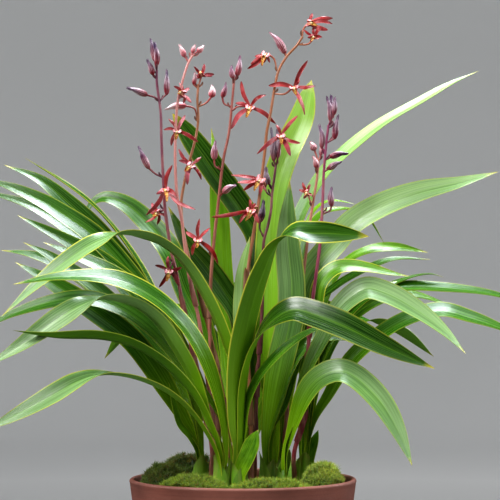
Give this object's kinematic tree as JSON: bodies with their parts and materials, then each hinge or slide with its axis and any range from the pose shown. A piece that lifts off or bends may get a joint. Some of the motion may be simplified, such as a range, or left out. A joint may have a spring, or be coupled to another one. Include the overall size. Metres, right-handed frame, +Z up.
{
  "type": "potted cymbidium sinense orchid",
  "caption": "Potted ink orchid: long arching strap leaves and upright spikes of dark star flowers and buds, with moss, in a plain tapered clay pot that stands on its flat base.",
  "frame": {"origin": "the middle of the pot's flat base", "axes": "+Z up along the pot's axis and the longest extent, -Y towards the front of the picture, +X to the right"},
  "size_m": [0.5876, 0.3651, 0.6737],
  "materials": {
    "clay": "matte",
    "bark": "matte",
    "moss": "matte",
    "leaf": "satin",
    "pale_bloom": "matte",
    "dark_bloom": "matte"
  },
  "bodies": {
    "root": {"pot": "clay", "planting_mix": "bark", "moss_left": "moss", "moss_back_left": "moss", "moss_front": "moss", "moss_front_right": "moss", "moss_right": "moss", "moss_back_right": "moss", "shoot_front_left": "leaf", "shoot_middle_left": "leaf", "shoot_left": "leaf", "shoot_back_left": "leaf", "shoot_back_middle": "leaf", "shoot_front_middle": "leaf", "shoot_middle": "leaf", "shoot_front_right": "leaf", "shoot_right": "leaf", "shoot_back_right": "leaf", "shoot_back_far_right": "leaf", "shoot_back": "leaf", "spike_far_left": "dark_bloom", "spike_left_pale": "pale_bloom", "spike_left_nodding": "pale_bloom", "spike_middle_left": "dark_bloom", "spike_tallest": "dark_bloom", "spike_dark": "dark_bloom", "spike_right": "dark_bloom", "spike_far_right": "dark_bloom"}
  },
  "joints": []
}
